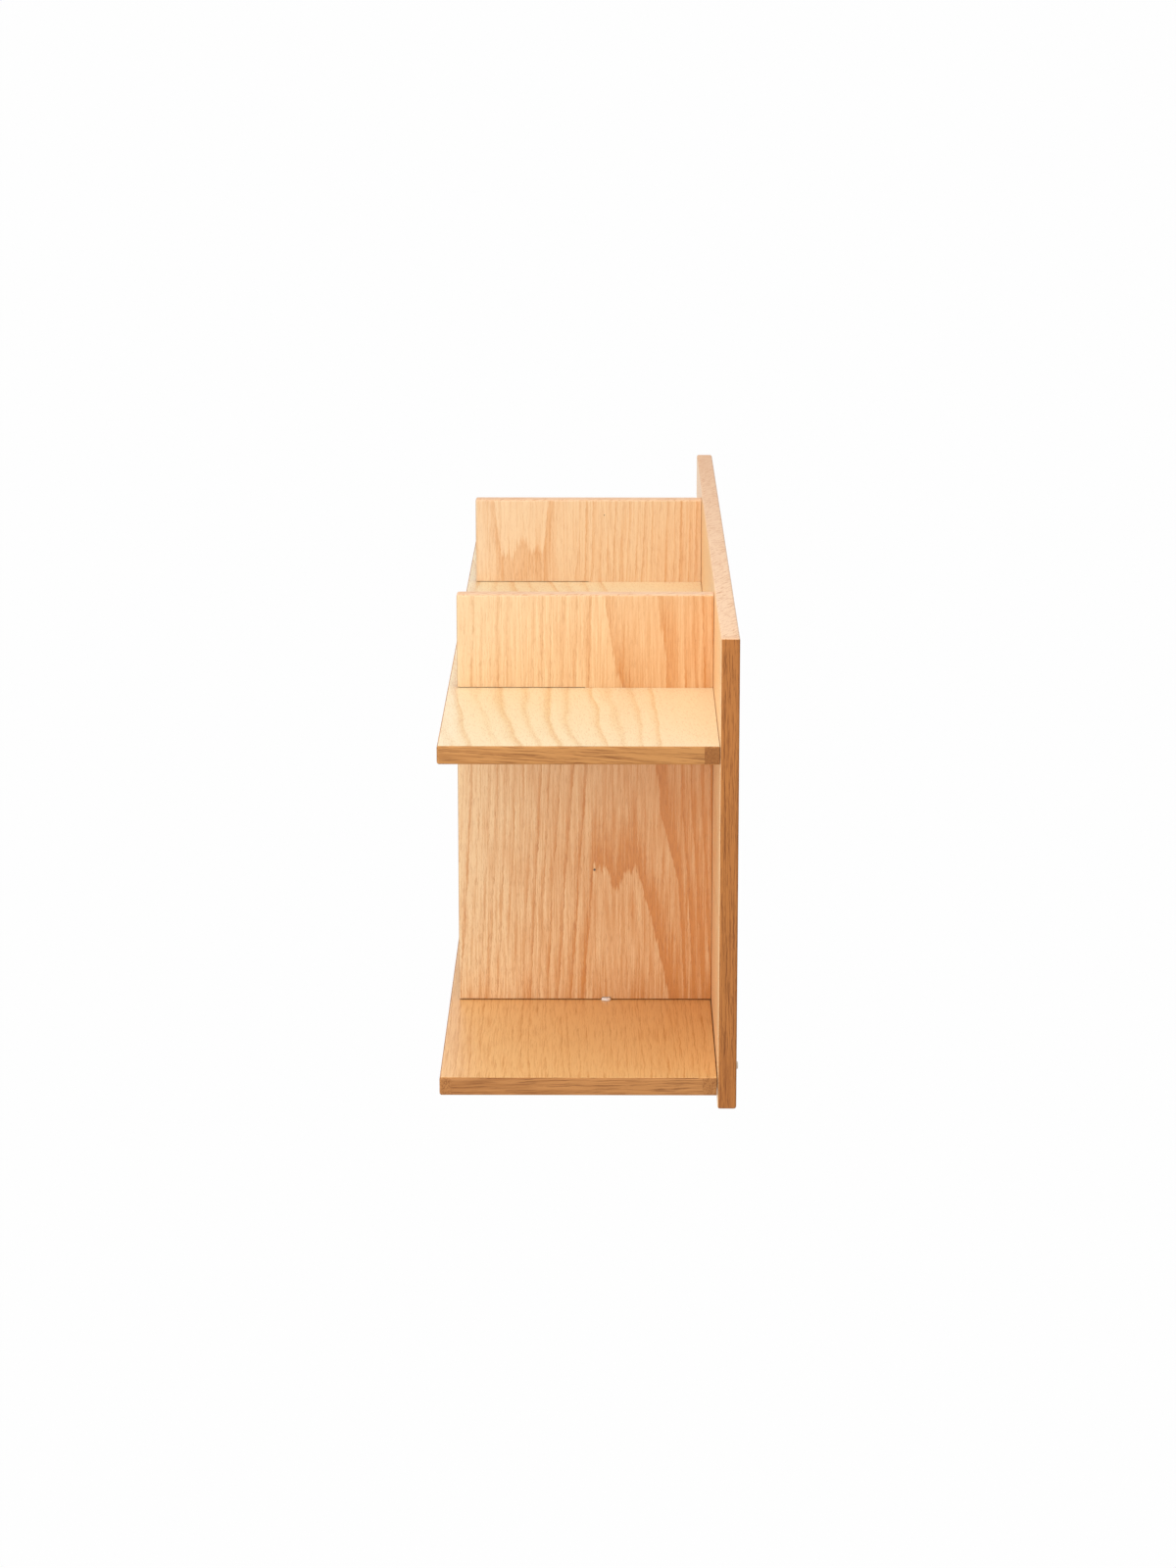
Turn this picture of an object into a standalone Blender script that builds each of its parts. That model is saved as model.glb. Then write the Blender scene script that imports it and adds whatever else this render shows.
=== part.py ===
# Wall shelf in veneered oak board with solid-oak lippings.
#
# Two full-length shelves and two uprights stand in front of a full-width back panel. The uprights stand
# on the lower shelf and cross the upper one in a halving joint: the shelf is slotted from the rear and the
# upright from the front, so the shelf's front edge stays whole. Screws and dowels hold the boards to the
# panel, and two keyhole plates and two bumpers set the panel off the wall.
#
# X runs along the wall, Y towards it and Z up. The origin is on the wall, behind the middle of the panel.

import math

import bmesh
import bpy
from mathutils import Vector

# Boards, in metres
LENGTH = 1.200              # shelves and panel, along the wall
SHELF_DEPTH = 0.281         # in front of the panel
SHELF_THICK = 0.019
PANEL_THICK = 0.019
UPRIGHT_THICK = 0.019
UPRIGHT_SETBACK = 0.010     # upright's front edge behind the shelves' front edges
BAY_WIDTH = 0.600           # clear, between the uprights
CLEAR_HEIGHT = 0.324        # clear, between the shelves
UPRIGHT_ABOVE = 0.100       # upright above the upper shelf
PANEL_ABOVE = 0.009         # panel above the uprights
PANEL_BELOW = 0.014         # panel below the lower shelf

# Edges
LIPPING = 0.012             # solid oak at the ends, fronts, tops and bottoms
REAR_LIPPING = 0.015        # solid oak along the shelves' rear edges
ARRIS_RADIUS = 0.0025       # outer edges
EASED_RADIUS = 0.001        # edges that meet another board
ARRIS_SEGMENTS = 3

# Clearances
GLUE_LINE = 0.0001          # between a board and its lippings
FIT = 0.0003                # between pieces that slide together or bear on each other
SLOT_HEADROOM = 0.0007      # over the upper shelf, in the upright's slot

# Board screws and dowels
SCREW_LENGTH = 0.050
SCREW_RADIUS = 0.002
SCREW_HEAD_RADIUS = 0.004
SCREW_HEAD_HEIGHT = 0.0025
SCREW_TIP = 0.006
DOWEL_LENGTH = 0.030
DOWEL_RADIUS = 0.004
DOWEL_CHAMFER = 0.001
DOWEL_SEAT = 0.012          # depth in the panel, or in the lower shelf
DOWEL_END_INSET = 0.060     # shelf dowels, from the shelf's ends
DOWEL_EDGE_INSET = 0.045    # foot dowels, from the upright's front and rear edges

# Foot pegs
PEG_RADIUS = 0.0053
PEG_HEIGHT = 0.0026
PEG_RIM = 0.0006
PEG_SHANK_RADIUS = 0.003
PEG_SHANK_LENGTH = 0.012
PEG_CLEARANCE = 0.0006      # round the collar, in the upright's notch
PEG_FROM_FRONT = 0.158      # behind the upright's front edge
PEG_PROUD = 0.0002          # peg's axis, outside the upright's outer face

# Hanger plates and bumpers
HANGER_THICK = 0.002
HANGER_WIDTH = 0.022
HANGER_HEIGHT = 0.064
HANGER_CORNER = 0.004
HANGER_END_INSET = 0.150    # plate's middle, from the panel's end
HANGER_DROP = 0.055         # plate's middle, below the panel's top
HANGER_SCREW_INSET = 0.009  # from the plate's top and bottom
HANGER_SCREW_LENGTH = 0.014
HANGER_SCREW_RADIUS = 0.0015
HANGER_SCREW_HEAD_RADIUS = 0.003
HANGER_SCREW_HEAD_HEIGHT = 0.0014
HANGER_SCREW_TIP = 0.003
KEYHOLE_RADIUS = 0.005      # where the wall screw's head goes in
KEYHOLE_SLOT_RADIUS = 0.0026
KEYHOLE_DROP = 0.006        # entry hole's centre below the plate's middle
KEYHOLE_RISE = 0.012        # slot's end above the entry hole's centre
POCKET_MARGIN = 0.0015      # panel's pocket round the keyhole
POCKET_DEPTH = 0.009
BUMPER_RADIUS = 0.004
BUMPER_EDGE = 0.0008
BUMPER_END_INSET = 0.028
BUMPER_RISE = 0.038         # above the panel's bottom

# Round pieces
TURN_STEPS = 16
TURN_START = math.pi / TURN_STEPS   # half a step, so that flats and not corners face along the axes
DOME_STEPS = 5
MERGE_DISTANCE = 0.00001    # closes a turned piece at its axis and its seam
CUT_THROUGH = 0.001         # how far a cutter runs past the face that it opens

# Places worked out from the sizes
WALL_GAP = HANGER_THICK + FIT
PANEL_BACK_Y = -WALL_GAP
PANEL_FRONT_Y = PANEL_BACK_Y - PANEL_THICK
SHELF_FRONT_Y = PANEL_FRONT_Y - SHELF_DEPTH
REAR_Y = PANEL_FRONT_Y - FIT
UPRIGHT_FRONT_Y = SHELF_FRONT_Y + UPRIGHT_SETBACK
HALVING_Y = (UPRIGHT_FRONT_Y + REAR_Y) / 2

PANEL_HEIGHT = PANEL_BELOW + 2 * SHELF_THICK + CLEAR_HEIGHT + UPRIGHT_ABOVE + PANEL_ABOVE
PANEL_BOTTOM_Z = -PANEL_HEIGHT / 2
PANEL_TOP_Z = PANEL_HEIGHT / 2
LOWER_BOTTOM_Z = PANEL_BOTTOM_Z + PANEL_BELOW
LOWER_TOP_Z = LOWER_BOTTOM_Z + SHELF_THICK
UPPER_BOTTOM_Z = LOWER_TOP_Z + CLEAR_HEIGHT
UPPER_TOP_Z = UPPER_BOTTOM_Z + SHELF_THICK
UPRIGHT_BOTTOM_Z = LOWER_TOP_Z + FIT
UPRIGHT_TOP_Z = UPPER_TOP_Z + UPRIGHT_ABOVE

END_X = LENGTH / 2
UPRIGHT_INNER_X = BAY_WIDTH / 2
UPRIGHT_OUTER_X = UPRIGHT_INNER_X + UPRIGHT_THICK
UPRIGHT_MIDDLE_X = UPRIGHT_INNER_X + UPRIGHT_THICK / 2
END_BAY_MIDDLE_X = (UPRIGHT_OUTER_X + END_X) / 2

SIDES = (("left", -1), ("right", 1))
FACING_WALL = (-math.pi / 2, 0, 0)
UPWARD = (0, 0, 0)


def clear_scene():
    for item in list(bpy.data.objects):
        bpy.data.objects.remove(item, do_unlink=True)


def new_collection(name):
    collection = bpy.data.collections.new(name)
    bpy.context.scene.collection.children.link(collection)
    return collection


def new_finish(name, colour, roughness, metallic=0.0):
    finish = bpy.data.materials.new(name)
    finish.use_nodes = True
    shader = finish.node_tree.nodes["Principled BSDF"]
    shader.inputs["Base Color"].default_value = (*colour, 1.0)
    shader.inputs["Roughness"].default_value = roughness
    shader.inputs["Metallic"].default_value = metallic
    return finish


def add_piece(name, mesh, finish):
    """A visible piece of the shelf, carried by the shelf's own empty."""
    piece = bpy.data.objects.new(name, mesh)
    piece.parent = SHELF
    mesh.materials.append(finish)
    PIECES.objects.link(piece)
    return piece


def add_cutter(name, mesh):
    cutter = bpy.data.objects.new(name, mesh)
    cutter.hide_render = True
    cutter.display_type = "WIRE"
    CUTTERS.objects.link(cutter)
    return cutter


def cut(piece, cutter):
    slot = piece.modifiers.new(cutter.name, "BOOLEAN")
    slot.operation = "DIFFERENCE"
    slot.solver = "MANIFOLD"
    slot.object = cutter


def span(side, near, far):
    """Limits on X of something between two distances from the middle, on the left or the right side."""
    return sorted((side * near, side * far))


def side_of(normal):
    axis = max(range(3), key=lambda number: abs(normal[number]))
    names = (("left", "right"), ("front", "rear"), ("bottom", "top"))[axis]
    return names[normal[axis] > 0]


def box_mesh(name, x, y, z, rounded=(), eased=(), radius=ARRIS_RADIUS):
    """A box about its own centre, with a bevel weight on each edge that is to be rounded or eased."""
    mesh = bpy.data.meshes.new(name)
    box = bmesh.new()
    bmesh.ops.create_cube(box, size=1.0)
    bmesh.ops.scale(box, vec=Vector((x[1] - x[0], y[1] - y[0], z[1] - z[0])), verts=box.verts)
    box.normal_update()
    weight = box.edges.layers.float.new("bevel_weight_edge")
    for edge in box.edges:
        sides = {side_of(face.normal) for face in edge.link_faces}
        outer = sides & set(rounded)
        if len(outer) == 2:
            edge[weight] = 1.0
        elif outer and sides & set(eased):
            edge[weight] = EASED_RADIUS / radius
    box.to_mesh(mesh)
    box.free()
    return mesh


def place_middle(item, x, y, z):
    item.location = (sum(x) / 2, sum(y) / 2, sum(z) / 2)


def board(name, x, y, z, finish, rounded=(), eased=(), radius=ARRIS_RADIUS):
    """A board, lipping or plate. Edges where two rounded sides meet get the full radius,
    and edges where a rounded side meets an eased one get the small radius."""
    piece = add_piece(name, box_mesh(name, x, y, z, rounded, eased, radius), finish)
    place_middle(piece, x, y, z)
    if rounded:
        bevel = piece.modifiers.new("arris", "BEVEL")
        bevel.limit_method = "WEIGHT"
        bevel.width = radius
        bevel.segments = ARRIS_SEGMENTS
    return piece


def block_cutter(name, x, y, z):
    cutter = add_cutter(name, box_mesh(name, x, y, z))
    place_middle(cutter, x, y, z)
    return cutter


def profile_mesh(name, profile):
    """An open profile of (radius, height) points, from the top on the axis to the bottom on the axis."""
    mesh = bpy.data.meshes.new(name)
    across, along = math.cos(TURN_START), math.sin(TURN_START)
    points = [(radius * across, radius * along, height) for radius, height in profile]
    mesh.from_pydata(points, [(number, number + 1) for number in range(len(points) - 1)], [])
    return mesh


def turn(item, place, facing):
    item.location = place
    item.rotation_euler = facing
    turning = item.modifiers.new("turning", "SCREW")
    turning.steps = TURN_STEPS
    turning.render_steps = TURN_STEPS
    turning.use_merge_vertices = True
    turning.merge_threshold = MERGE_DISTANCE
    return item


def turned_piece(name, profile, place, facing, finish):
    return turn(add_piece(name, profile_mesh(name, profile), finish), place, facing)


def turned_cutter(name, profile, place, facing):
    return turn(add_cutter(name, profile_mesh(name, profile)), place, facing)


def rod_profile(radius, length, chamfer=0.0):
    """A rod about its own middle, with its two ends chamfered."""
    half = length / 2
    if not chamfer:
        return [(0.0, half), (radius, half), (radius, -half), (0.0, -half)]
    return [(0.0, half), (radius - chamfer, half), (radius, half - chamfer),
            (radius, chamfer - half), (radius - chamfer, -half), (0.0, -half)]


def screw_profile(head_radius, head_height, radius, length, tip):
    """A countersunk screw with its head's top at height 0."""
    return [(0.0, 0.0), (head_radius, 0.0), (radius, -head_height), (radius, tip - length), (0.0, -length)]


def screw_hole_profile(head_radius, head_height, radius, length, tip):
    """The same screw with its fit all round, and a mouth that opens the face that the head is sunk in."""
    mouth = FIT + CUT_THROUGH
    return [(0.0, mouth), (head_radius + FIT, mouth), (head_radius + FIT, 0.0),
            (radius + FIT, -head_height), (radius + FIT, tip - length), (0.0, -length - FIT)]


def dome(radius, height, rim):
    """A dome from its crown to the foot of its rim."""
    points = []
    for step in range(DOME_STEPS + 1):
        angle = math.pi / 2 * step / DOME_STEPS
        points.append((radius * math.sin(angle), rim + (height - rim) * math.cos(angle)))
    return points + [(radius, 0.0)]


def add_screw(name, x, z, holders):
    """A screw from behind the panel, with its hole in each piece that it goes through."""
    sizes = (SCREW_HEAD_RADIUS, SCREW_HEAD_HEIGHT, SCREW_RADIUS, SCREW_LENGTH, SCREW_TIP)
    place = (x, PANEL_BACK_Y - FIT, z)
    turned_piece(name, screw_profile(*sizes), place, FACING_WALL, ZINC)
    hole = turned_cutter(name + "_hole", screw_hole_profile(*sizes), place, FACING_WALL)
    for holder in holders:
        cut(holder, hole)


def add_dowel(name, place, facing, holders):
    turned_piece(name, rod_profile(DOWEL_RADIUS, DOWEL_LENGTH, DOWEL_CHAMFER), place, facing, BEECH)
    bore = rod_profile(DOWEL_RADIUS + FIT, DOWEL_LENGTH + 2 * FIT)
    hole = turned_cutter(name + "_hole", bore, place, facing)
    for holder in holders:
        cut(holder, hole)


def make_back_panel():
    """The panel's core, its end lippings at full height, and top and bottom lippings between them."""
    y = (PANEL_FRONT_Y, PANEL_BACK_Y)
    inside_x = (-END_X + LIPPING + GLUE_LINE, END_X - LIPPING - GLUE_LINE)
    core_z = (PANEL_BOTTOM_Z + LIPPING + GLUE_LINE, PANEL_TOP_Z - LIPPING - GLUE_LINE)
    panel = board("back_panel", inside_x, y, core_z, VENEER)
    for side_name, side in SIDES:
        board(f"back_panel_{side_name}_lipping", span(side, END_X - LIPPING, END_X), y,
              (PANEL_BOTTOM_Z, PANEL_TOP_Z), SOLID_OAK, (side_name, "front", "rear", "top", "bottom"))
    board("back_panel_top_lipping", inside_x, y, (PANEL_TOP_Z - LIPPING, PANEL_TOP_Z),
          SOLID_OAK, ("top", "front", "rear"))
    board("back_panel_bottom_lipping", inside_x, y, (PANEL_BOTTOM_Z, PANEL_BOTTOM_Z + LIPPING),
          SOLID_OAK, ("bottom", "front", "rear"))
    return panel


def make_shelf(name, bottom, top, rear_lengths):
    """A shelf's core and its lippings. The rear lipping comes in the lengths that the uprights leave."""
    z = (bottom, top)
    front_y = (SHELF_FRONT_Y, SHELF_FRONT_Y + LIPPING)
    rear_y = (REAR_Y - REAR_LIPPING, REAR_Y)
    core_y = (front_y[1] + GLUE_LINE, rear_y[0] - GLUE_LINE)
    core_x = (-END_X + LIPPING + GLUE_LINE, END_X - LIPPING - GLUE_LINE)
    core = board(name, core_x, core_y, z, VENEER)
    board(f"{name}_front_lipping", (-END_X, END_X), front_y, z,
          SOLID_OAK, ("front", "top", "bottom", "left", "right"))
    for side_name, side in SIDES:
        board(f"{name}_{side_name}_lipping", span(side, END_X - LIPPING, END_X), core_y, z,
              SOLID_OAK, (side_name, "top", "bottom"))
    rears = {}
    for label, low, high in rear_lengths:
        ends = [side_name for side_name, side in SIDES if END_X in (side * low, side * high)]
        rears[label] = board(f"{name}_rear_lipping{label}", (low, high), rear_y, z,
                             SOLID_OAK, ("top", "bottom", *ends), ("rear",))
    return core, rears


def make_upright(side_name, side):
    """An upright's core, slotted from the front for the upper shelf, and its top and front lippings."""
    name = side_name + "_upright"
    x = span(side, UPRIGHT_INNER_X, UPRIGHT_OUTER_X)
    front_y = (UPRIGHT_FRONT_Y, UPRIGHT_FRONT_Y + LIPPING)
    core_y = (front_y[1] + GLUE_LINE, REAR_Y)
    slot_z = (UPPER_BOTTOM_Z - FIT, UPPER_TOP_Z + SLOT_HEADROOM)
    core = board(name, x, core_y, (UPRIGHT_BOTTOM_Z, UPRIGHT_TOP_Z - LIPPING - GLUE_LINE), VENEER,
                 ("left", "right"), ("rear", "bottom"))
    slot_x = span(side, UPRIGHT_INNER_X - CUT_THROUGH, UPRIGHT_OUTER_X + CUT_THROUGH)
    slot_y = (UPRIGHT_FRONT_Y - CUT_THROUGH, HALVING_Y + FIT / 2)
    cut(core, block_cutter(name + "_slot", slot_x, slot_y, slot_z))
    board(name + "_top_lipping", x, core_y, (UPRIGHT_TOP_Z - LIPPING, UPRIGHT_TOP_Z), SOLID_OAK,
          ("left", "right", "top"), ("rear",))
    board(name + "_front_lipping_upper", x, front_y, (slot_z[1], UPRIGHT_TOP_Z), SOLID_OAK,
          ("left", "right", "front", "top"))
    board(name + "_front_lipping_lower", x, front_y, (UPRIGHT_BOTTOM_Z, slot_z[0]), SOLID_OAK,
          ("left", "right", "front"), ("bottom",))
    return core


def slot_upper_shelf(shelf):
    """Slots from the rear edge to the middle of each upright's depth."""
    for side_name, side in SIDES:
        x = span(side, UPRIGHT_INNER_X - FIT, UPRIGHT_OUTER_X + FIT)
        y = (HALVING_Y - FIT / 2, REAR_Y + CUT_THROUGH)
        z = (UPPER_BOTTOM_Z - CUT_THROUGH, UPPER_TOP_Z + CUT_THROUGH)
        cut(shelf, block_cutter(f"upper_shelf_{side_name}_slot", x, y, z))


def fasten_shelf(name, middle_z, panel, shelf, rears):
    """Three screws and two dowels between the panel and a shelf's rear edge."""
    screws = (("left", -END_BAY_MIDDLE_X), ("middle", 0.0), ("right", END_BAY_MIDDLE_X))
    for label, x in screws:
        rear = rears.get("_" + label, rears.get(""))
        add_screw(f"{name}_screw_{label}", x, middle_z, (panel, rear, shelf))
    y = PANEL_FRONT_Y + DOWEL_SEAT - DOWEL_LENGTH / 2
    for side_name, side in SIDES:
        rear = rears.get("_" + side_name, rears.get(""))
        add_dowel(f"{name}_dowel_{side_name}", (side * (END_X - DOWEL_END_INSET), y, middle_z), FACING_WALL,
                  (panel, rear, shelf))


def fasten_upright(side_name, side, upright, panel, lower_shelf):
    """Two screws through the panel, two dowels in the upright's foot, and the white peg beside it."""
    heights = (("lower", (LOWER_TOP_Z + UPPER_BOTTOM_Z) / 2), ("upper", (UPPER_TOP_Z + UPRIGHT_TOP_Z) / 2))
    for label, z in heights:
        add_screw(f"{side_name}_upright_screw_{label}", side * UPRIGHT_MIDDLE_X, z, (panel, upright))
    depths = (("front", UPRIGHT_FRONT_Y + DOWEL_EDGE_INSET), ("rear", REAR_Y - DOWEL_EDGE_INSET))
    for label, y in depths:
        place = (side * UPRIGHT_MIDDLE_X, y, LOWER_TOP_Z - DOWEL_SEAT + DOWEL_LENGTH / 2)
        add_dowel(f"{side_name}_upright_dowel_{label}", place, UPWARD, (lower_shelf, upright))
    add_foot_peg(side_name, side, upright, lower_shelf)


def add_foot_peg(side_name, side, upright, lower_shelf):
    """A domed collar on a shank, close to half let into the upright's foot at its outer face."""
    name = side_name + "_foot_peg"
    x = side * (UPRIGHT_OUTER_X + PEG_PROUD)
    place = (x, UPRIGHT_FRONT_Y + PEG_FROM_FRONT, LOWER_TOP_Z + FIT)
    shank = [(PEG_SHANK_RADIUS, 0.0), (PEG_SHANK_RADIUS, -PEG_SHANK_LENGTH), (0.0, -PEG_SHANK_LENGTH)]
    turned_piece(name, dome(PEG_RADIUS, PEG_HEIGHT, PEG_RIM) + shank, place, UPWARD, WHITE_PLASTIC)
    notch = dome(PEG_RADIUS + PEG_CLEARANCE, PEG_HEIGHT + PEG_CLEARANCE, PEG_RIM)
    below = [(notch[-1][0], -CUT_THROUGH), (0.0, -CUT_THROUGH)]
    cut(upright, turned_cutter(name + "_notch", notch + below, place, UPWARD))
    bore = rod_profile(PEG_SHANK_RADIUS + FIT, PEG_SHANK_LENGTH + 2 * CUT_THROUGH)
    bore_middle = (place[0], place[1], LOWER_TOP_Z - PEG_SHANK_LENGTH / 2)
    cut(lower_shelf, turned_cutter(name + "_hole", bore, bore_middle, UPWARD))


def make_hanger(side_name, side, panel):
    """A keyhole plate on the panel's back with two screws, and the pocket behind its keyhole."""
    name = side_name + "_hanger"
    x = side * (END_X - HANGER_END_INSET)
    z = PANEL_TOP_Z - HANGER_DROP
    plate = board(name, (x - HANGER_WIDTH / 2, x + HANGER_WIDTH / 2), (-HANGER_THICK, 0.0),
                  (z - HANGER_HEIGHT / 2, z + HANGER_HEIGHT / 2), PLATED_STEEL,
                  ("left", "right", "top", "bottom"), radius=HANGER_CORNER)
    entry_z = z - KEYHOLE_DROP
    through = HANGER_THICK + 2 * CUT_THROUGH
    y = (-HANGER_THICK - CUT_THROUGH, CUT_THROUGH)
    hole = rod_profile(KEYHOLE_RADIUS, through)
    slot_end = rod_profile(KEYHOLE_SLOT_RADIUS, through)
    cut(plate, turned_cutter(name + "_entry", hole, (x, -HANGER_THICK / 2, entry_z), FACING_WALL))
    cut(plate, block_cutter(name + "_slot", (x - KEYHOLE_SLOT_RADIUS, x + KEYHOLE_SLOT_RADIUS), y,
                            (entry_z, entry_z + KEYHOLE_RISE)))
    cut(plate, turned_cutter(name + "_slot_end", slot_end, (x, -HANGER_THICK / 2, entry_z + KEYHOLE_RISE),
                             FACING_WALL))
    reach = KEYHOLE_RADIUS + POCKET_MARGIN
    cut(panel, block_cutter(name + "_pocket", (x - reach, x + reach),
                            (PANEL_BACK_Y - POCKET_DEPTH, PANEL_BACK_Y + CUT_THROUGH),
                            (entry_z - reach, entry_z + KEYHOLE_RISE + reach)))
    sizes = (HANGER_SCREW_HEAD_RADIUS, HANGER_SCREW_HEAD_HEIGHT, HANGER_SCREW_RADIUS, HANGER_SCREW_LENGTH,
             HANGER_SCREW_TIP)
    for label, way in (("lower", -1), ("upper", 1)):
        place = (x, -FIT, z + way * (HANGER_HEIGHT / 2 - HANGER_SCREW_INSET))
        turned_piece(f"{name}_screw_{label}", screw_profile(*sizes), place, FACING_WALL, ZINC)
        bore = screw_hole_profile(*sizes)
        screw_hole = turned_cutter(f"{name}_screw_{label}_hole", bore, place, FACING_WALL)
        cut(plate, screw_hole)
        cut(panel, screw_hole)


def make_bumper(side_name, side):
    """A soft round pad that fills the gap to the wall."""
    profile = [(0.0, HANGER_THICK)]
    for step in range(DOME_STEPS + 1):
        angle = math.pi / 2 * step / DOME_STEPS
        profile.append((BUMPER_RADIUS - BUMPER_EDGE * (1 - math.sin(angle)),
                        HANGER_THICK - BUMPER_EDGE * (1 - math.cos(angle))))
    profile += [(BUMPER_RADIUS, 0.0), (0.0, 0.0)]
    place = (side * (END_X - BUMPER_END_INSET), -HANGER_THICK, PANEL_BOTTOM_Z + BUMPER_RISE)
    turned_piece(side_name + "_bumper", profile, place, FACING_WALL, CLEAR_RUBBER)


clear_scene()
PIECES = new_collection("wall_shelf")
CUTTERS = new_collection("cutters")
SHELF = bpy.data.objects.new("wall_shelf", None)
PIECES.objects.link(SHELF)

VENEER = new_finish("oak_veneer", (0.72, 0.45, 0.22), 0.45)
SOLID_OAK = new_finish("solid_oak", (0.60, 0.34, 0.15), 0.45)
BEECH = new_finish("beech", (0.75, 0.55, 0.36), 0.6)
ZINC = new_finish("zinc_plate", (0.62, 0.62, 0.60), 0.35, 1.0)
PLATED_STEEL = new_finish("plated_steel", (0.55, 0.55, 0.54), 0.4, 1.0)
WHITE_PLASTIC = new_finish("white_plastic", (0.85, 0.83, 0.78), 0.35)
CLEAR_RUBBER = new_finish("clear_rubber", (0.82, 0.78, 0.72), 0.3)

BACK_PANEL = make_back_panel()
SLOT_INNER_X = UPRIGHT_INNER_X - FIT
SLOT_OUTER_X = UPRIGHT_OUTER_X + FIT
UPPER_REAR_LENGTHS = (
    ("_left", -END_X, -SLOT_OUTER_X),
    ("_middle", -SLOT_INNER_X, SLOT_INNER_X),
    ("_right", SLOT_OUTER_X, END_X),
)
LOWER_REAR_LENGTHS = (("", -END_X, END_X),)
UPPER_SHELF, UPPER_REARS = make_shelf("upper_shelf", UPPER_BOTTOM_Z, UPPER_TOP_Z, UPPER_REAR_LENGTHS)
LOWER_SHELF, LOWER_REARS = make_shelf("lower_shelf", LOWER_BOTTOM_Z, LOWER_TOP_Z, LOWER_REAR_LENGTHS)
slot_upper_shelf(UPPER_SHELF)
fasten_shelf("upper_shelf", (UPPER_BOTTOM_Z + UPPER_TOP_Z) / 2, BACK_PANEL, UPPER_SHELF, UPPER_REARS)
fasten_shelf("lower_shelf", (LOWER_BOTTOM_Z + LOWER_TOP_Z) / 2, BACK_PANEL, LOWER_SHELF, LOWER_REARS)
for SIDE_NAME, SIDE in SIDES:
    fasten_upright(SIDE_NAME, SIDE, make_upright(SIDE_NAME, SIDE), BACK_PANEL, LOWER_SHELF)
    make_hanger(SIDE_NAME, SIDE, BACK_PANEL)
    make_bumper(SIDE_NAME, SIDE)
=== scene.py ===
# %% [markdown]
# # A wall shelf in oak, from plain solids to finished boards
#
# The shelf hangs on a wall. Two long shelves and two uprights stand in front of a back panel. Each board
# has a veneered core with solid-oak lippings glued round its edges, and the whole is finished in a satin
# lacquer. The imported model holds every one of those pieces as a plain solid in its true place. This
# lesson loads it as a fixed frame, models a finer piece for each solid that can be seen, and then makes
# the oak, the light and the camera.

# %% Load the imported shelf
import math

import bmesh
import bpy
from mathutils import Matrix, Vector


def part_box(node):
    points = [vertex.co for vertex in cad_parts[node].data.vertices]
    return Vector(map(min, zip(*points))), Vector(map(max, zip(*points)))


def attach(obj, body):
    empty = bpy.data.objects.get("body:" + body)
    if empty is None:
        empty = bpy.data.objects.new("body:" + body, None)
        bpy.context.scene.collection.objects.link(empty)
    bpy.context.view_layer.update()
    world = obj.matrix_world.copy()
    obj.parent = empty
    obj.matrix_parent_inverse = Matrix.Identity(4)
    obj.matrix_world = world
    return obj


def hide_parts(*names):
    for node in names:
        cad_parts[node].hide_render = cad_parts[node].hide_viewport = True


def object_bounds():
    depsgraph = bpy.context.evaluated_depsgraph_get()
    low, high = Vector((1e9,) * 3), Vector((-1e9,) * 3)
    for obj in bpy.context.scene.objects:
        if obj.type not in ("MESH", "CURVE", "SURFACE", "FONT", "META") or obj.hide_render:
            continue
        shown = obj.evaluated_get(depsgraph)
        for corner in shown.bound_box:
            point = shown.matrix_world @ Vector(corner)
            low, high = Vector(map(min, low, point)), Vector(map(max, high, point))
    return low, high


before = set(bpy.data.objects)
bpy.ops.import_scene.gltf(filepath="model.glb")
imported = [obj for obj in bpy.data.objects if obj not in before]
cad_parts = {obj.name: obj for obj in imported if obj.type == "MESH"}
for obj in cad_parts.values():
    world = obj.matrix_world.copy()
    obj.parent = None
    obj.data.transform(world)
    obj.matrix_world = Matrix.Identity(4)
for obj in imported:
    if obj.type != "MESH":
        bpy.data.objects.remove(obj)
cad_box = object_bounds()
print(len(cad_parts), "nodes in a box of", [round(side, 4) for side in cad_box[1] - cad_box[0]], "m")

# %% [markdown]
# ## Which solids make one board
#
# A joiner thinks of five boards: the panel, two shelves and two uprights. In the frame, a board is a core
# and the lippings round it, and their names start alike, so each board can be gathered by name. The thin
# axis tells which two faces are veneered. The seats are the sides that bear on another board: their edges
# are only eased, while every other outer edge is rounded so that it feels soft to the hand. Two of the
# seats don't quite close on the real shelf: a thin dark gap shows under the foot of each upright, and
# another behind the lower shelf. So those sides are trimmed a little.

# %% Gather the boards
THIN_AXIS = {"back_panel": 1, "upper_shelf": 2, "lower_shelf": 2, "left_upright": 0, "right_upright": 0}
SEATS = {
    "back_panel": (),
    "upper_shelf": ("rear",),
    "lower_shelf": ("rear",),
    "left_upright": ("rear", "bottom"),
    "right_upright": ("rear", "bottom"),
}
TRIMMED = {                             # which seat is trimmed, and how much
    "lower_shelf": ("rear", 0.0005),
    "left_upright": ("bottom", 0.0008),
    "right_upright": ("bottom", 0.0008),
}


def members(board):
    """The core of a board and its lippings, by their node names."""
    return [node for node in sorted(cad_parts)
            if node == board or node.startswith(board + "_") and "lipping" in node]


def box_of(nodes):
    """Lowest and highest corner of several nodes together."""
    lows, highs = zip(*(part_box(node) for node in nodes))
    return Vector(map(min, *lows)), Vector(map(max, *highs))


for board in THIN_AXIS:
    print(board, "has", len(members(board)), "pieces")

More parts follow.
